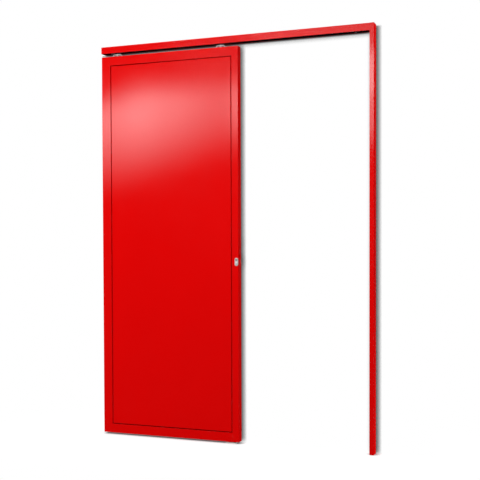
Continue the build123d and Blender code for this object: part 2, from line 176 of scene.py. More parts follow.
LAMPS = (
    LampPlan("wide_key", (-2.0, -5.4, 3.5), (0.0, 0.0, 1.1), 1.8, "key_power"),
    LampPlan("near_fill", (-0.5, -1.25, 1.42), (-0.45, 0.0, 1.42), 1.0, "fill_power"),
    LampPlan("post_fill", (0.5, -0.6, 1.25), (0.745, 0.0, 1.25), 0.8, "post_power"),
    LampPlan("upper_side", (2.0, 0.05, 2.2), (0.4, 0.0, 1.9), 0.5, "side_power"),
    LampPlan("lower_side", (2.0, 0.05, -0.2), (0.4, 0.0, 0.3), 0.5, "side_power"),
)
LEAF_SOFTBOX = SoftboxPlan("softbox_leaf", (-2.2, -4.2, 2.22), (2.4, 1.46), 1.2)
PLAIN_SOFTBOXES = (
    SoftboxPlan("softbox_post", (-0.2, -4.2, 2.69), (0.9, 0.4), 0.95),
    SoftboxPlan("softbox_post_lower", (-0.2, -4.2, 2.27), (0.9, 0.42), 0.42),
    SoftboxPlan("softbox_track", (-0.55, -4.2, 3.15), (1.8, 0.45), 0.12),
)


def colour_property(name, description, default):
    """A colour that the user can change."""
    return FloatVectorProperty(
        name=name, description=description, subtype="COLOR", size=3, min=0.0, max=1.0, default=default
    )


def length_property(name, description, default):
    """A length in metres that the user can change."""
    return FloatProperty(name=name, description=description, unit="LENGTH", min=0.0, default=default)


def share_property(name, description, default):
    """A share between none and all that the user can change."""
    return FloatProperty(
        name=name, description=description, subtype="FACTOR", min=0.0, max=1.0, default=default
    )


def level_property(name, description, default):
    """A brightness that the user can change."""
    return FloatProperty(name=name, description=description, min=0.0, default=default)


def power_property(name, description, default):
    """A lamp's power in watts that the user can change."""
    return FloatProperty(name=name, description=description, unit="POWER", min=0.0, default=default)


def angle_property(name, description, degrees):
    """An angle, given in degrees, that the user can change."""
    return FloatProperty(name=name, description=description, subtype="ANGLE", default=radians(degrees))


class PaintLook(bpy.types.PropertyGroup):
    """The red coat of the leaf, track and post."""

    red: colour_property("Red", "Colour of the powder coat", (0.76, 0.0008, 0.0008))
    roughness: share_property("Roughness", "How soft reflections in the coat are", 0.11)
    unevenness: share_property("Unevenness", "How much the coat's tone wanders", 0.012)
    panel_gloss: share_property("Panel gloss", "How strongly the panel mirrors", 0.5)
    leaf_gloss: share_property("Leaf gloss", "How strongly the leaf's bars mirror", 0.57)
    frame_gloss: share_property("Frame gloss", "How strongly the track and post mirror", 0.65)
    edge_radius: length_property("Edge radius", "Rounding that the coat gives to sharp edges", 0.0012)
    peel_depth: length_property("Orange peel", "Depth of the coat's fine ripple", 0.00002)


class MetalLook(bpy.types.PropertyGroup):
    """Bare and plated metals."""

    zinc: colour_property("Zinc", "Plated brackets, stops, plates and lock case", (0.66, 0.67, 0.68))
    steel: colour_property("Steel", "Bolts, nuts, axles, screws and hook", (0.76, 0.76, 0.75))
    chrome: colour_property("Chrome", "Cover plates of the lock", (0.93, 0.94, 0.92))
    nickel: colour_property("Nickel", "Satin lock cylinder", (0.70, 0.67, 0.61))
    aluminium: colour_property("Aluminium", "Cast spigots in the leaf's corners", (0.68, 0.69, 0.70))


class PlasticLook(bpy.types.PropertyGroup):
    """Plastics, rubbers and the track's dark lining."""

    lining: colour_property("Track lining", "Matt black coat of the track", (0.004, 0.004, 0.004))
    rubber: colour_property("Rubber", "Seal, buffers and gasket", (0.012, 0.012, 0.012))
    cap: colour_property("Caps", "End caps of the stiles and coat of the trolleys", (0.02, 0.02, 0.02))
    nylon: colour_property("Guide nylon", "Floor guide", (0.82, 0.81, 0.76))
    wheel: colour_property("Wheel nylon", "Wheels", (0.05, 0.05, 0.052))


class SmallPartSizes(bpy.types.PropertyGroup):
    """Sizes of the pieces that are made here and not in the solids."""

    screw_radius: length_property("Screw head radius", "Pan heads on brackets and stops", 0.0038)
    screw_height: length_property("Screw head height", "Pan heads on the hanger brackets", 0.0022)
    screw_socket: length_property("Screw socket", "Radius of the bracket screws' sockets", 0.0016)
    screw_socket_depth: length_property("Socket depth", "Depth of those sockets", 0.0012)
    stop_socket: length_property("Stop screw socket", "Radius of the stop screws' sockets", 0.0018)
    stop_socket_depth: length_property("Stop socket depth", "Depth of those sockets", 0.001)
    flat_radius: length_property("Flat head radius", "Sunk heads on plates", 0.0034)
    flat_height: length_property("Flat head height", "How far sunk heads stand proud", 0.0003)
    flat_socket: length_property("Flat head socket", "Radius of the sunk heads' sockets", 0.0014)
    strap: length_property("Bracket strap", "Thickness of the hanger bracket's feet", 0.003)
    foot: length_property("Bracket foot", "Length of the hanger bracket's feet", 0.014)
    plate_end: length_property("Plate end", "From a plate's end to its screw", 0.009)


class StudioLook(bpy.types.PropertyGroup):
    """Camera, floor and light."""

    camera_place: FloatVectorProperty(
        name="Camera place",
        description="Where the camera stands",
        subtype="TRANSLATION",
        size=3,
        default=(1.75, -4.4431, 1.0416),
    )
    heading: angle_property("Heading", "Turn of the camera to the left", 21.313)
    pitch: angle_property("Pitch", "Tilt of the camera upwards", -1.465)
    roll: angle_property("Roll", "Lean of the camera", -0.19)
    focal_pixels: FloatProperty(
        name="Focal length", description="Focal length in pixels of the image", default=910.69
    )
    lens_shift: FloatVectorProperty(
        name="Lens shift",
        description="Shift of the lens in widths of the image",
        size=2,
        default=(0.01004, 0.05917),
    )
    floor: colour_property("Floor", "Pale studio floor", (0.35, 0.35, 0.35))
    floor_lift: share_property("Floor lift", "Light that the floor gives to the camera", 0.85)
    floor_shadow: length_property("Floor shadow", "Reach of the soft shadow on the floor", 0.04)
    backdrop_shadow: length_property("Backdrop shadow", "Reach of the soft shadow on the backdrop", 0.03)
    backdrop_gap: length_property("Backdrop gap", "From the frame's back to the backdrop", 0.002)
    backdrop_overlap: length_property("Backdrop overlap", "Backdrop past the track's end", 0.028)
    ambient: share_property("Ambient", "Even light from all round", 0.15)
    front: level_property("Front light", "Soft light from the front", 0.12)
    back: level_property("Back light", "Soft light from behind", 1.1)
    dark_flag: share_property("Dark flag", "What gloss shows before and behind the door", 0.005)
    dark_ground: share_property("Dark ground", "What gloss shows straight below", 0.25)
    key_power: power_property("Key power", "Power of the wide key lamp", 260.0)
    fill_power: power_property("Fill power", "Power of the lamp near the leaf", 0.9)
    post_power: power_property("Post power", "Power of the lamp near the post", 0.8)
    side_power: power_property("Side power", "Power of each lamp at the right", 13.6)
    softbox_radiance: level_property("Softbox radiance", "How bright a full softbox looks", 6.0)


class DoorLooks(bpy.types.PropertyGroup):
    """Everything that a user can change on the dressed door."""

    paint: PointerProperty(type=PaintLook)
    metal: PointerProperty(type=MetalLook)
    plastic: PointerProperty(type=PlasticLook)
    small: PointerProperty(type=SmallPartSizes)
    studio: PointerProperty(type=StudioLook)


class Wiring:
    """A node tree in the making."""

    def __init__(self, tree):
        self.tree = tree

    def node(self, kind, **settings):
        """Add a node and set its own settings."""
        made = self.tree.nodes.new(kind)
        for key, value in settings.items():
            setattr(made, key, value)
        return made

    def join(self, source, target):
        """Lead an output into an input."""
        self.tree.links.new(source, target)

    def feed(self, target, value):
        """Set an input to a value, or lead an output into it."""
        if isinstance(value, bpy.types.NodeSocket):
            self.join(value, target)
        else:
            target.default_value = value

    def maths(self, operation, *values):
        """The result of an operation on numbers and outputs."""
        made = self.node("ShaderNodeMath", operation=operation)
        for place, value in enumerate(values):
            self.feed(made.inputs[place], value)
        return made.outputs["Value"]

    def axes(self, source):
        """The three coordinates of a vector, by name."""
        split = self.node("ShaderNodeSeparateXYZ")
        self.join(source, split.inputs["Vector"])
        return split.outputs

    def ramp(self, source, start, end, levels=(0.0, 1.0), kind="SMOOTHSTEP"):
        """A rise from one level to another as the source goes from start to end."""
        step = self.node("ShaderNodeMapRange", interpolation_type=kind)
        self.join(source, step.inputs["Value"])
        self.feed(step.inputs["From Min"], start)
        self.feed(step.inputs["From Max"], end)
        step.inputs["To Min"].default_value, step.inputs["To Max"].default_value = levels
        return step.outputs["Result"]

    def mixed(self, factor, first, second):
        """A blend of two shaders."""
        mix = self.node("ShaderNodeMixShader")
        for place, source in enumerate((factor, first, second)):
            self.join(source, mix.inputs[place])
        return mix.outputs["Shader"]


class Finish(Wiring):
    """A material in the making, with its main shader at hand."""

    def __init__(self, name):
        self.material = bpy.data.materials.new(name)
        self.material.use_nodes = True
        super().__init__(self.material.node_tree)
        self.shader = self.tree.nodes["Principled BSDF"]
        self.place = self.node("ShaderNodeTexCoord").outputs["Object"]

    def plain(self, socket, value):
        """Set a value that holds all over the surface on the shader's own socket."""
        self.shader.inputs[socket].default_value = value

    def surface(self, colour, roughness, normal):
        """Lead colour, roughness and normal into the shader."""
        for socket, source in (("Base Color", colour), ("Roughness", roughness), ("Normal", normal)):
            self.join(source, self.shader.inputs[socket])

    def show(self, shader):
        """Put another shader in the place of the main one."""
        self.tree.nodes.remove(self.shader)
        self.join(shader, self.tree.nodes["Material Output"].inputs["Surface"])

    def noise(self, scale, detail=3.0, stretch=EVEN):
        """A noise over the piece, in its own coordinates."""
        mapping = self.node("ShaderNodeMapping")
        mapping.inputs["Scale"].default_value = stretch
        self.join(self.place, mapping.inputs["Vector"])
        noise = self.node("ShaderNodeTexNoise")
        noise.inputs["Scale"].default_value = scale
        noise.inputs["Detail"].default_value = detail
        self.join(mapping.outputs["Vector"], noise.inputs["Vector"])
        return noise.outputs["Fac"]

    def between(self, source, low, high):
        """Bring a noise into a range."""
        return self.ramp(source, *NOISE_SPAN, (low, high), "LINEAR")

    def swaying(self, source, value, share):
        """Let a value wander by a share to both sides."""
        return self.between(source, value * (1.0 - share), value * (1.0 + share))

    def shade(self, factor, first, second):
        """Blend two colours, each a colour or an output, by a factor."""
        mix = self.node("ShaderNodeMix", data_type="RGBA")
        for socket, value in (("A", first), ("B", second)):
            self.feed(mix.inputs[socket], (*value, 1.0) if isinstance(value, tuple) else value)
        self.join(factor, mix.inputs["Factor"])
        return mix.outputs["Result"]

    def toned(self, factor, colour, tints):
        """A colour that wanders between a darker and a lighter tint of it."""
        darker, lighter = (tinted(colour, tint) for tint in tints)
        return self.shade(factor, darker, lighter)

    def bump(self, height, depth, normal=None):
        """Turn a height into a bump of the given depth."""
        bump = self.node("ShaderNodeBump")
        bump.inputs["Distance"].default_value = depth
        self.join(height, bump.inputs["Height"])
        if normal is not None:
            self.join(normal, bump.inputs["Normal"])
        return bump.outputs["Normal"]

    def rounded(self, radius):
        """The surface's normal, rounded near sharp edges."""
        bevel = self.node("ShaderNodeBevel", samples=4)
        bevel.inputs["Radius"].default_value = radius
        return bevel.outputs["Normal"]

    def edges(self, rounded):
        """A mask of the sharp edges, from the rounded normal."""
        geometry = self.node("ShaderNodeNewGeometry")
        dot = self.node("ShaderNodeVectorMath", operation="DOT_PRODUCT")
        self.join(rounded, dot.inputs[0])
        self.join(geometry.outputs["Normal"], dot.inputs[1])
        return self.ramp(dot.outputs["Value"], 1.0, EDGE_COSINE, kind="LINEAR")


def tinted(colour, factor):
    """A colour made lighter or darker."""
    return tuple(min(1.0, channel * factor) for channel in colour)


def dress(finish, *names):
    """Give CAD nodes a finish."""
    for name in names:
        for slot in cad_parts[name].material_slots:
            slot.material = finish


def red_coat(name, paint, gloss):
    """Glossy powder coat with a faint ripple and wandering tone; its sharp edges are painted lighter,
    partly as thin worn coat and partly as a painted highlight.
    """
    coat = Finish(name)
    coat.plain("Specular IOR Level", gloss)
    tone = coat.between(coat.noise(PAINT_TONE_SCALE, detail=4.0), 0.0, 1.0)
    body = coat.toned(tone, paint.red, (1.0 - paint.unevenness, 1.0 + paint.unevenness))
    rounded = coat.rounded(paint.edge_radius)
    patchy = coat.between(coat.noise(PAINT_EDGE_WEAR_AND_HIGHLIGHT_SCALE), *PAINT_EDGE_WEAR_AND_HIGHLIGHT)
    # Sharp edges painted lighter in patches: partly worn thin coat, partly a painted highlight.
    worn_and_highlit_edge = coat.maths("MULTIPLY", coat.edges(rounded), patchy)
    cloudy = coat.noise(PAINT_GLOSS_SCALE, detail=5.0)
    ripple = coat.noise(PAINT_RIPPLE_SCALE, detail=2.0)
    coat.surface(
        coat.shade(worn_and_highlit_edge, body, tinted(paint.red, PAINT_EDGE_TINT)),
        coat.swaying(cloudy, paint.roughness, PAINT_GLOSS_SWAY),
        coat.bump(ripple, paint.peel_depth, rounded),
    )
    return coat.material


def plated(name, colour, roughness, grain, stretch=EVEN, depth=METAL_GRAIN_DEPTH, metallic=1.0):
    """Metal with grain in its tone, gloss and surface."""
    metal = Finish(name)
    metal.plain("Metallic", metallic)
    flecks = metal.noise(grain, detail=4.0, stretch=stretch)
    cloudy = metal.noise(grain / 3, stretch=stretch)
    metal.surface(
        metal.toned(metal.between(flecks, 0.0, 1.0), colour, METAL_TINTS),
        metal.swaying(cloudy, roughness, METAL_GLOSS_SWAY),
        metal.bump(flecks, depth, metal.rounded(METAL_EDGE)),
    )
    return metal.material


def threaded(name, colour, pitch):
    """Bright steel with a screw thread cut round an upright shank, its grooves painted darker and its
    crests lighter as painted shade and highlight.
    """
    metal = Finish(name)
    metal.plain("Metallic", 0.5)
    wave = metal.node("ShaderNodeTexWave", bands_direction="Z")
    wave.inputs["Scale"].default_value = TURN / (WAVE_RADIANS * pitch)
    metal.join(metal.place, wave.inputs["Vector"])
    ridges = wave.outputs["Fac"]
    # The thread's colour follows its ridges: painted shade in the grooves, painted highlight on the
    # crests.
    metal.surface(
        metal.toned(ridges, colour, THREAD_SHADE_AND_HIGHLIGHT_TINTS),
        metal.between(metal.noise(THREAD_GLOSS_SCALE), *THREAD_ROUGHNESS),
        metal.bump(ridges, THREAD_DEPTH),
    )
    return metal.material


def moulded(name, colour, roughness, specular=0.5):
    """Plastic or rubber with a fine matt texture."""
    plastic = Finish(name)
    plastic.plain("Specular IOR Level", specular)
    tone = plastic.between(plastic.noise(PLASTIC_TONE_SCALE), 0.0, 1.0)
    grain = plastic.noise(PLASTIC_GRAIN_SCALE)
    plastic.surface(
        plastic.toned(tone, colour, PLASTIC_TINTS),
        plastic.swaying(plastic.noise(PLASTIC_GLOSS_SCALE), roughness, PLASTIC_GLOSS_SWAY),
        plastic.bump(grain, PLASTIC_GRAIN_DEPTH, plastic.rounded(PLASTIC_EDGE)),
    )
    return plastic.material


def new_piece(name, build, finish, body):
    """Make a mesh piece, dress it and let it ride on a body."""
    mesh = bpy.data.meshes.new(name)
    work = bmesh.new()
    build(work)
    bmesh.ops.recalc_face_normals(work, faces=work.faces)
    for face in work.faces:
        face.smooth = True
    work.to_mesh(mesh)
    work.free()
    piece = bpy.data.objects.new(name, mesh)
    bpy.context.scene.collection.objects.link(piece)
    piece.data.materials.append(finish)
    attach(piece, body)
    return piece


def ring_of(work, points):
    """A closed ring of vertices."""
    return [work.verts.new(point) for point in points]


def skin(work, rings):
    """Faces between rings that follow each other."""
    for first, second in zip(rings, rings[1:]):
        count = len(first)
        for i in range(count):
            j = (i + 1) % count
            work.faces.new((first[i], first[j], second[j], second[i]))


def screw_head(work, place, profile, socket, depth):
    """A round head with a six-sided socket. The profile gives radius and height from rim to socket."""
    angles = [TURN * i / HEAD_STEPS for i in range(HEAD_STEPS)]
    sixth = TURN / 6

    def ring(reaches, height):
        spokes = list(zip(reaches, angles))
        return ring_of(work, [place @ Vector((r * cos(a), r * sin(a), height)) for r, a in spokes])

    def hexagon(radius, height):
        flat = radius * cos(sixth / 2)
        return ring([flat / cos(angle % sixth - sixth / 2) for angle in angles], height)

    top = profile[-1][1]
    rings = [ring([radius] * HEAD_STEPS, height) for radius, height in profile]
    rings += [hexagon(socket, top), hexagon(socket * SOCKET_TAPER, top - depth)]
    skin(work, rings)
    work.faces.new(rings[-1])
    work.faces.new(rings[0])


def scaled(profile, radius, height):
    """A head's profile at its radius and height."""
    return [(radius * reach, height * rise) for reach, rise in profile]


def facing(place, direction):
    """A frame at a place whose Z axis points along a direction."""
    return Matrix.Translation(place) @ Vector(direction).to_track_quat("Z", "Y").to_matrix().to_4x4()


class DOOR_OT_paint_leaf(bpy.types.Operator):
    """Coat the leaf's stiles, rails and lock faceplate in red"""

    bl_idname = "door.paint_leaf"
    bl_label = "Paint leaf frame"

    def execute(self, context):
        paint = context.scene.door_looks.paint
        coat = red_coat("leaf_red_coat", paint, paint.leaf_gloss)
        dress(coat, "stile_left", "stile_right", "rail_top", "rail_bottom", "lock_faceplate")
        return {"FINISHED"}


class DOOR_OT_paint_panel(bpy.types.Operator):
    """Coat the flush panel in red and bed it on its gasket"""

    bl_idname = "door.paint_panel"
    bl_label = "Paint panel"

    def execute(self, context):
        looks = context.scene.door_looks
        dress(red_coat("panel_red_coat", looks.paint, looks.paint.panel_gloss), "panel")
        dress(moulded("gasket_rubber", looks.plastic.rubber, roughness=0.8), "panel_gasket")
        return {"FINISHED"}


class DOOR_OT_paint_frame(bpy.types.Operator):
    """Coat the track's hood and the strike post in red"""

    bl_idname = "door.paint_frame"
    bl_label = "Paint track and post"

    def execute(self, context):
        paint = context.scene.door_looks.paint
        coat = red_coat("frame_red_coat", paint, paint.frame_gloss)
        dress(coat, "track_hood", "track_end_cap", "strike_post", "post_top_cap", "post_foot")
        return {"FINISHED"}


class DOOR_OT_line_track(bpy.types.Operator):
    """Give the running track its matt black lining and finish the stops in it"""

    bl_idname = "door.line_track"
    bl_label = "Line track"

    def execute(self, context):
        looks = context.scene.door_looks
        lining = moulded("track_lining", looks.plastic.lining, roughness=0.85, specular=0.05)
        dress(lining, "running_track")
        zinc = plated("stop_zinc", looks.metal.zinc, roughness=0.42, grain=160.0)
        dress(zinc, "end_stop_left", "end_stop_right")
        rubber = moulded("buffer_rubber", looks.plastic.rubber, roughness=0.8)
        dress(rubber, "stop_buffer_left", "stop_buffer_right")
        return {"FINISHED"}


class DOOR_OT_finish_post(bpy.types.Operator):
    """Finish the strike plate and rubber seal on the post"""

    bl_idname = "door.finish_post"
    bl_label = "Finish strike side"

    def execute(self, context):
        looks = context.scene.door_looks
        dress(plated("strike_zinc", looks.metal.zinc, roughness=0.38, grain=160.0), "strike_plate")
        dress(moulded("seal_rubber", looks.plastic.rubber, roughness=0.7), "closing_seal")
        return {"FINISHED"}


class DOOR_OT_finish_leaf_inside(bpy.types.Operator):
    """Finish the spigots, caps and backing plates in the leaf's tubes"""

    bl_idname = "door.finish_leaf_inside"
    bl_label = "Finish leaf insides"

    def execute(self, context):
        looks = context.scene.door_looks
        aluminium = plated("spigot_aluminium", looks.metal.aluminium, roughness=0.5, grain=120.0)
        dress(aluminium, "rail_spigots")
        dress(moulded("cap_plastic", looks.plastic.cap, roughness=0.55), "stile_caps")
        zinc = plated("backing_zinc", looks.metal.zinc, roughness=0.42, grain=160.0)
        dress(zinc, "hanger_backing_plates")
        return {"FINISHED"}


class DOOR_OT_finish_hangers(bpy.types.Operator):
    """Finish the hanger brackets, bolts, nuts and trolleys"""

    bl_idname = "door.finish_hangers"
    bl_label = "Finish hangers"

    def execute(self, context):
        looks = context.scene.door_looks
        metal = looks.metal
        # The brackets' zinc is a copy painted 1.2 times brighter than the other zinc parts: a painted
        # highlight.
        bright = tinted(metal.zinc, 1.2)
        zinc = plated("bracket_zinc", bright, roughness=0.4, grain=180.0, metallic=0.4)
        dress(zinc, "hanger_bracket_left", "hanger_bracket_right")
        coat = moulded("trolley_coat", looks.plastic.cap, roughness=0.6, specular=0.3)
        dress(coat, "trolley_left", "trolley_right")
        dress(threaded("bolt_thread", metal.steel, THREAD_PITCH), "hanger_bolts")
        steel = plated("nut_steel", metal.steel, roughness=0.3, grain=220.0, metallic=0.5)
        dress(steel, "hanger_nuts")
        return {"FINISHED"}


class DOOR_OT_finish_wheels(bpy.types.Operator):
    """Finish the nylon wheels and their steel axles"""

    bl_idname = "door.finish_wheels"
    bl_label = "Finish wheels"

    def execute(self, context):
        looks = context.scene.door_looks
        nylon = moulded("wheel_nylon", looks.plastic.wheel, roughness=0.45)
        dress(nylon, "wheel_left_front", "wheel_left_back", "wheel_right_front", "wheel_right_back")
        turned = (1.0, 0.05, 1.0)
        steel = plated("axle_steel", looks.metal.steel, roughness=0.25, grain=300.0, stretch=turned)
        dress(steel, "axle_left", "axle_right")
        return {"FINISHED"}


class DOOR_OT_finish_guide(bpy.types.Operator):
    """Finish the floor guide in natural nylon"""

    bl_idname = "door.finish_guide"
    bl_label = "Finish floor guide"

    def execute(self, context):
        nylon = context.scene.door_looks.plastic.nylon
        dress(moulded("guide_nylon", nylon, roughness=0.5), "floor_guide")
        return {"FINISHED"}


class DOOR_OT_finish_lock(bpy.types.Operator):
    """Finish the lock's case, hook and cylinder"""

    bl_idname = "door.finish_lock"
    bl_label = "Finish lock"

    def execute(self, context):
        metal = context.scene.door_looks.metal
        dress(plated("case_zinc", metal.zinc, roughness=0.45, grain=160.0), "lock_case")
        steel = plated("hook_steel", metal.steel, roughness=0.28, grain=260.0)
        dress(steel, "hook_bolt", "hook_pivot_pin")
        brushed = (1.0, 1.0, 0.2)
        satin = plated("cylinder_nickel", metal.nickel, roughness=0.32, grain=380.0, stretch=brushed)
        dress(satin, "cylinder_body", "plug_front", "plug_back", "lock_cam")
        return {"FINISHED"}


class DOOR_OT_make_escutcheons(bpy.types.Operator):
    """Make the rounded chrome cover plates round the keyhole on both sides"""

    bl_idname = "door.make_escutcheons"
    bl_label = "Make escutcheons"

    def execute(self, context):
        chrome = plated(
            "escutcheon_chrome",
            context.scene.door_looks.metal.chrome,
            roughness=0.34,
            grain=90.0,
            depth=CHROME_GRAIN_DEPTH,
            metallic=0.55,
        )
        for side in ("front", "back"):
            self.plate(side, chrome)
        return {"FINISHED"}

    def plate(self, side, chrome):
        """One cover plate, from the outline of its solid and the plug's place in it."""
        low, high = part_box(f"escutcheon_{side}")
        plug_low, plug_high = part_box(f"plug_{side}")
        seat, way = (high.y, -1.0) if side == "front" else (low.y, 1.0)
        thickness = high.y - low.y
        centre = (low + high) / 2
        axis = (plug_low + plug_high) / 2
        half = (high.x - low.x) / 2
        straight = (high.z - low.z) / 2 - half
        hole = (plug_high.x - plug_low.x) / 2 + COVER_HOLE_GAP
        angles = [TURN * (i + 0.5) / COVER_STEPS for i in range(COVER_STEPS)]

        def circle(radius, height):
            depth = seat + way * height
            return [(axis.x + radius * cos(a), depth, axis.z + radius * sin(a)) for a in angles]

        def outline(inset, height):
            depth = seat + way * height
            radius = half - inset
            rises = [straight if angle < pi else -straight for angle in angles]
            return [
                (centre.x + radius * cos(a), depth, centre.z + rise + radius * sin(a))
                for a, rise in zip(angles, rises)
            ]

        def build(work):
            land = hole * COVER_LAND_SHARE
            width = (half - land) * COVER_RIM_SHARE
            rings = [outline(0.0, 0.0)]
            for i in range(COVER_RIM_STEPS):
                bend = pi / 2 * i / COVER_RIM_STEPS
                rise = COVER_SIDE_SHARE + (1.0 - COVER_SIDE_SHARE) * sin(bend)
                rings.append(outline((1.0 - cos(bend)) * width, rise * thickness))
            rings.append(circle(land, thickness))
            rings += [circle(hole * reach, thickness * rise) for reach, rise in COVER_HOLE_EDGE]
            skin(work, [ring_of(work, points) for points in rings])

        piece = new_piece(f"escutcheon_cover_{side}", build, chrome, "leaf")
        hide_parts(f"escutcheon_{side}")


class DOOR_OT_make_bracket_screws(bpy.types.Operator):
    """Make the pan-head screws that hold the hanger brackets to the top rail"""

    bl_idname = "door.make_bracket_screws"
    bl_label = "Make bracket screws"

    def execute(self, context):
        looks = context.scene.door_looks
        small = looks.small
        profile = scaled(PAN_PROFILE, small.screw_radius, small.screw_height)
        places = []
        for side in ("left", "right"):
            low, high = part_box(f"hanger_bracket_{side}")
            for x in (low.x + small.foot / 2, high.x - small.foot / 2):
                places.append(facing((x, (low.y + high.y) / 2, low.z + small.strap), (0, 0, 1)))

        def build(work):
            for place in places:
                screw_head(work, place, profile, small.screw_socket, small.screw_socket_depth)

        steel = plated("bracket_screw_steel", looks.metal.steel, roughness=0.3, grain=300.0)
        new_piece("bracket_screws", build, steel, "leaf")
        return {"FINISHED"}


class DOOR_OT_make_plate_screws(bpy.types.Operator):
    """Make the sunk screws of the lock faceplate and the strike plate"""

    bl_idname = "door.make_plate_screws"
    bl_label = "Make plate screws"

    def execute(self, context):
        looks = context.scene.door_looks
        small = looks.small
        profile = scaled(FLAT_PROFILE, small.flat_radius, small.flat_height)
        depth = small.flat_height * FLAT_SOCKET_SHARE

        def build_on(node, way):
            low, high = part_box(node)
            face = high.x if way > 0 else low.x
            heights = (low.z + small.plate_end, high.z - small.plate_end)
            places = [facing((face, (low.y + high.y) / 2, z), (way, 0, 0)) for z in heights]

            def build(work):
                for place in places:
                    screw_head(work, place, profile, small.flat_socket, depth)

            return build

        coat = red_coat("faceplate_screw_coat", looks.paint, looks.paint.panel_gloss)
        new_piece("faceplate_screws", build_on("lock_faceplate", 1), coat, "leaf")
        steel = plated("strike_screw_steel", looks.metal.steel, roughness=0.3, grain=300.0)
        new_piece("strike_plate_screws", build_on("strike_plate", -1), steel, "frame")
        return {"FINISHED"}


class DOOR_OT_make_stop_screws(bpy.types.Operator):
    """Make the clamp screws under the two end stops"""

    bl_idname = "door.make_stop_screws"
    bl_label = "Make stop screws"

    def execute(self, context):
        looks = context.scene.door_looks
        small = looks.small
        profile = scaled(PAN_PROFILE, small.screw_radius, small.screw_height * STOP_HEAD_SHARE)
        places = []
        for side in ("left", "right"):
            low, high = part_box(f"end_stop_{side}")
            places.append(facing(((low.x + high.x) / 2, TRACK_MIDDLE, low.z), (0, 0, -1)))

        def build(work):
            for place in places:
                screw_head(work, place, profile, small.stop_socket, small.stop_socket_depth)

        steel = plated("stop_screw_steel", looks.metal.steel, roughness=0.3, grain=300.0)
        new_piece("end_stop_screws", build, steel, "frame")
        return {"FINISHED"}


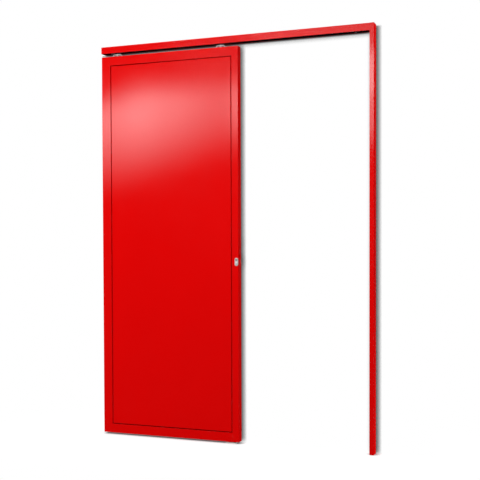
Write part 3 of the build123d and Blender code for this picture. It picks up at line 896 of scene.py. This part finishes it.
class DOOR_OT_set_stage(bpy.types.Operator):
    """Set the floor, the backdrop, the soft light and the camera"""

    bl_idname = "door.set_stage"
    bl_label = "Set stage"

    def execute(self, context):
        studio = context.scene.door_looks.studio
        self.lay_floor(studio)
        self.hang_backdrop(studio)
        self.light_world(context.scene, studio)
        for plan in LAMPS:
            self.hang_lamp(studio, plan)
        self.fade_softbox(self.hang_softbox(studio, LEAF_SOFTBOX))
        for plan in PLAIN_SOFTBOXES:
            self.hang_softbox(studio, plan)
        self.place_camera(context.scene, studio)
        context.scene.view_settings.view_transform = "Standard"
        return {"FINISHED"}

    def sheet(self, name, corners, finish):
        """A flat sheet of the stage that gloss doesn't show."""
        mesh = bpy.data.meshes.new(name)
        work = bmesh.new()
        work.faces.new(ring_of(work, corners))
        work.to_mesh(mesh)
        work.free()
        mesh.materials.append(finish)
        sheet = bpy.data.objects.new(name, mesh)
        bpy.context.scene.collection.objects.link(sheet)
        sheet.visible_glossy = False
        sheet.visible_shadow = False
        return sheet

    def lay_floor(self, studio):
        """A pale floor round the door that fades into the white ground."""
        low, high = cad_box
        left, right = low[0] - FLOOR_REACH, high[0] + FLOOR_REACH
        front, back = low[1] - FLOOR_REACH, high[1] + FLOOR_REACH
        corners = [(left, front, 0.0), (right, front, 0.0), (right, back, 0.0), (left, back, 0.0)]
        half_length = (high[0] - low[0]) / 2
        self.sheet("studio_floor", corners, self.floor_finish(studio, half_length))

    def floor_finish(self, studio, half_length):
        """Matt floor that keeps shadows, lifted to white for the camera with a painted contact shadow
        near the door, and fading outwards.
        """
        finish = Finish("floor_matt")
        matt = finish.node("ShaderNodeBsdfDiffuse")
        matt.inputs["Color"].default_value = (*studio.floor, 1.0)
        path = finish.node("ShaderNodeLightPath").outputs
        seen = finish.maths("MAXIMUM", path["Is Camera Ray"], path["Is Transmission Ray"])
        level = finish.maths("MULTIPLY", seen, studio.floor_lift)
        # Ambient occlusion near the door dims the floor's lift: a painted contact shadow.
        near = self.openness(finish, studio.floor_shadow, FLOOR_SHADOW_DEPTH, FLOOR_SHADOW_LEAN)
        lift = finish.node("ShaderNodeEmission")
        finish.join(finish.maths("MULTIPLY", level, near), lift.inputs["Strength"])
        both = finish.node("ShaderNodeAddShader")
        finish.join(matt.outputs["BSDF"], both.inputs[0])
        finish.join(lift.outputs["Emission"], both.inputs[1])

        axes = finish.axes(finish.place)
        beyond = finish.maths("SUBTRACT", finish.maths("ABSOLUTE", axes["X"]), half_length)
        gap = finish.node("ShaderNodeCombineXYZ")
        finish.join(finish.maths("MAXIMUM", beyond, 0.0), gap.inputs["X"])
        finish.join(axes["Y"], gap.inputs["Y"])
        distance = finish.node("ShaderNodeVectorMath", operation="LENGTH")
        finish.join(gap.outputs["Vector"], distance.inputs[0])
        fade = finish.ramp(distance.outputs["Value"], *FLOOR_FADE)
        clear = finish.node("ShaderNodeBsdfTransparent")
        finish.show(finish.mixed(fade, both.outputs["Shader"], clear.outputs["BSDF"]))
        return finish.material

    def openness(self, finish, reach, depth, lean):
        """How open a point of the stage is on the side that it leans to, from 0 to 1, as ambient
        occlusion; the floor and backdrop use it as painted shadow.
        """
        surface = finish.node("ShaderNodeNewGeometry")
        towards = finish.node("ShaderNodeVectorMath", operation="ADD")
        towards.inputs[1].default_value = lean
        finish.join(surface.outputs["Normal"], towards.inputs[0])
        unit = finish.node("ShaderNodeVectorMath", operation="NORMALIZE")
        finish.join(towards.outputs["Vector"], unit.inputs[0])
        shade = finish.node("ShaderNodeAmbientOcclusion", samples=8)
        shade.inputs["Distance"].default_value = reach
        finish.join(unit.outputs["Vector"], shade.inputs["Normal"])
        return finish.maths("POWER", shade.outputs["AO"], depth)

    def hang_backdrop(self, studio):
        """A white backdrop close behind the door, seen from the front, with the door's soft shadow
        painted on it.
        """
        low, high = cad_box
        depth = high[1] + studio.backdrop_gap
        end, left = low[0] - studio.backdrop_overlap, low[0]
        right, top = high[0] + BACKDROP_PAST_POST, high[2]
        track_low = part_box("track_hood")[0].z
        outline = [(end, 0.0), (right, 0.0), (right, top), (left, top)]
        outline += [(left, track_low), (end, track_low)]
        corners = [(x, depth, z) for x, z in outline]
        backdrop = self.sheet("studio_backdrop", corners, self.backdrop_finish(studio, end, top))
        backdrop.visible_diffuse = False
        backdrop.visible_transmission = False

    def backdrop_finish(self, studio, end, top):
        """White, with painted shade near the door and a painted dark band under its track, fading at its
        top, clear from behind.
        """
        finish = Finish("backdrop_white")
        axes = finish.axes(finish.place)
        track_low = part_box("track_hood")[0].z
        post_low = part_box("strike_post")[0].x
        # Painted shade: a dark band just under the track, from the backdrop's end to the post.
        under = finish.ramp(axes["Z"], track_low - TRACK_BAND, track_low, (0.0, TRACK_BAND_DEPTH))
        past_end = finish.ramp(axes["X"], end, end + BACKDROP_FADE)
        before_post = finish.ramp(axes["X"], post_low, post_low - TRACK_BAND_END)
        inside = finish.maths("MULTIPLY", past_end, before_post)
        lit = finish.maths("SUBTRACT", 1.0, finish.maths("MULTIPLY", under, inside))
        # Ambient occlusion darkens the white near the door: a painted shadow.
        near = self.openness(
            finish, studio.backdrop_shadow, BACKDROP_SHADOW_DEPTH, BACKDROP_SHADOW_LEAN
        )
        white = finish.node("ShaderNodeEmission")
        finish.join(finish.maths("MULTIPLY", near, lit), white.inputs["Strength"])
        behind = finish.node("ShaderNodeNewGeometry").outputs["Backfacing"]
        hidden = finish.maths("MAXIMUM", finish.ramp(axes["Z"], top - BACKDROP_FADE, top), behind)
        clear = finish.node("ShaderNodeBsdfTransparent")
        finish.show(finish.mixed(hidden, white.outputs["Emission"], clear.outputs["BSDF"]))
        return finish.material

    def light_world(self, scene, studio):
        """Soft light from front and back, a white ground, and dark flags and ground for gloss."""
        world = bpy.data.worlds.new("studio_light")
        scene.world = world
        world.use_nodes = True
        world.cycles.sampling_method = "NONE"
        world.node_tree.nodes.clear()
        sky = Wiring(world.node_tree)
        axes = sky.axes(sky.node("ShaderNodeTexCoord").outputs["Generated"])

        def glow(strength):
            background = sky.node("ShaderNodeBackground")
            background.inputs["Color"].default_value = WHITE
            sky.feed(background.inputs["Strength"], strength)
            return background.outputs["Background"]

        before = sky.maths("MAXIMUM", sky.maths("MULTIPLY", axes["Y"], -1.0), 0.0)
        behind = sky.maths("MAXIMUM", axes["Y"], 0.0)
        from_front = sky.maths("MULTIPLY", before, studio.front)
        from_back = sky.maths("MULTIPLY", behind, studio.back)
        soft = sky.maths("ADD", sky.maths("ADD", from_front, from_back), studio.ambient)

        sideways = sky.maths("MULTIPLY", sky.maths("ABSOLUTE", axes["X"]), sin(studio.heading))
        ahead = sky.maths("MULTIPLY", sky.maths("ABSOLUTE", axes["Y"]), cos(studio.heading))
        along = sky.maths("ADD", sideways, ahead)
        flags = sky.ramp(along, cos(FLAG_OUTER), cos(FLAG_INNER), (1.0, studio.dark_flag))
        ground = sky.ramp(axes["Z"], *GROUND_RISE, (studio.dark_ground, 1.0))
        mirrored = sky.maths("MULTIPLY", flags, ground)

        path = sky.node("ShaderNodeLightPath").outputs
        shown = sky.maths("MAXIMUM", path["Is Camera Ray"], path["Is Transmission Ray"])
        lighting = sky.mixed(path["Is Glossy Ray"], glow(soft), glow(mirrored))
        output = sky.node("ShaderNodeOutputWorld")
        sky.join(sky.mixed(shown, lighting, glow(1.0)), output.inputs["Surface"])

    def hang_lamp(self, studio, plan):
        """A round lamp that gloss and the camera don't show."""
        lamp = bpy.data.lights.new(plan.name, "AREA")
        lamp.shape = "DISK"
        lamp.size = plan.width
        lamp.energy = getattr(studio, plan.power)
        stand = bpy.data.objects.new(plan.name, lamp)
        stand.matrix_world = facing(plan.place, Vector(plan.place) - Vector(plan.aim))
        stand.visible_glossy = False
        stand.visible_camera = False
        bpy.context.scene.collection.objects.link(stand)

    def hang_softbox(self, studio, plan):
        """An upright softbox before the door that the paint mirrors and the camera doesn't show."""
        lamp = bpy.data.lights.new(plan.name, "AREA")
        lamp.shape = "RECTANGLE"
        lamp.size, lamp.size_y = plan.size
        lamp.energy = pi * lamp.size * lamp.size_y * studio.softbox_radiance * plan.share
        box = bpy.data.objects.new(plan.name, lamp)
        box.matrix_world = facing(plan.middle, (0.0, -1.0, 0.0))
        box.visible_camera = False
        bpy.context.scene.collection.objects.link(box)
        return lamp

    def fade_softbox(self, lamp):
        """Let the leaf's softbox glow along a band and fade upwards, downwards and to both ends."""
        lamp.use_nodes = True
        glass = Wiring(lamp.node_tree)
        axes = glass.axes(glass.node("ShaderNodeNewGeometry").outputs["Position"])
        across, height = axes["X"], axes["Z"]
        outer = glass.maths("MINIMUM", glass.maths("SUBTRACT", across, GLOW_SHOULDER), 0.0)
        shoulder = glass.maths("MULTIPLY_ADD", outer, -GLOW_SLOPE, height)
        foot = glass.maths("MULTIPLY_ADD", across, GLOW_SLOPE, GLOW_FOOT)
        glow = glass.ramp(shoulder, *GLOW_TOP)
        glow = glass.maths("MULTIPLY", glow, glass.ramp(height, foot, GLOW_FULL))
        for start, end, levels in GLOW_STEPS:
            glow = glass.maths("MULTIPLY", glow, glass.ramp(across, start, end, levels, "LINEAR"))
        glass.join(glow, lamp.node_tree.nodes["Emission"].inputs["Strength"])

    def place_camera(self, scene, studio):
        """The camera, about a metre above the floor and to the right of the door."""
        camera = bpy.data.cameras.new("studio_camera")
        camera.sensor_width = SENSOR_WIDTH
        camera.lens = studio.focal_pixels / IMAGE_WIDTH * SENSOR_WIDTH
        camera.shift_x, camera.shift_y = studio.lens_shift
        level = Vector((cos(studio.heading), sin(studio.heading), 0.0))
        onward = Vector((-sin(studio.heading), cos(studio.heading), 0.0))
        ahead = cos(studio.pitch) * onward + sin(studio.pitch) * Vector((0.0, 0.0, 1.0))
        upright = level.cross(ahead)
        right = cos(studio.roll) * level + sin(studio.roll) * upright
        up = -sin(studio.roll) * level + cos(studio.roll) * upright
        stand = bpy.data.objects.new("studio_camera", camera)
        turn = Matrix((right, up, -ahead)).transposed().to_4x4()
        stand.matrix_world = Matrix.Translation(studio.camera_place) @ turn
        scene.collection.objects.link(stand)
        scene.camera = stand


OPERATORS = (
    DOOR_OT_paint_leaf,
    DOOR_OT_paint_panel,
    DOOR_OT_paint_frame,
    DOOR_OT_line_track,
    DOOR_OT_finish_post,
    DOOR_OT_finish_leaf_inside,
    DOOR_OT_finish_hangers,
    DOOR_OT_finish_wheels,
    DOOR_OT_finish_guide,
    DOOR_OT_finish_lock,
    DOOR_OT_make_escutcheons,
    DOOR_OT_make_bracket_screws,
    DOOR_OT_make_plate_screws,
    DOOR_OT_make_stop_screws,
    DOOR_OT_set_stage,
)


class DOOR_PT_looks(bpy.types.Panel):
    """Lists the steps that dress the door"""

    bl_label = "Sliding Door"
    bl_idname = "DOOR_PT_looks"
    bl_space_type = "VIEW_3D"
    bl_region_type = "UI"
    bl_category = "Door"

    def draw(self, context):
        for operator in OPERATORS:
            self.layout.operator(operator.bl_idname)


CLASSES = (
    PaintLook,
    MetalLook,
    PlasticLook,
    SmallPartSizes,
    StudioLook,
    DoorLooks,
    *OPERATORS,
    DOOR_PT_looks,
)


def register():
    for entry in CLASSES:
        bpy.utils.register_class(entry)
    bpy.types.Scene.door_looks = PointerProperty(type=DoorLooks)


def unregister():
    del bpy.types.Scene.door_looks
    for entry in reversed(CLASSES):
        bpy.utils.unregister_class(entry)


def main():
    """Dress the door step by step."""
    register()
    for operator in OPERATORS:
        group, name = operator.bl_idname.split(".")
        getattr(getattr(bpy.ops, group), name)()


if __name__ == "__main__":
    main()
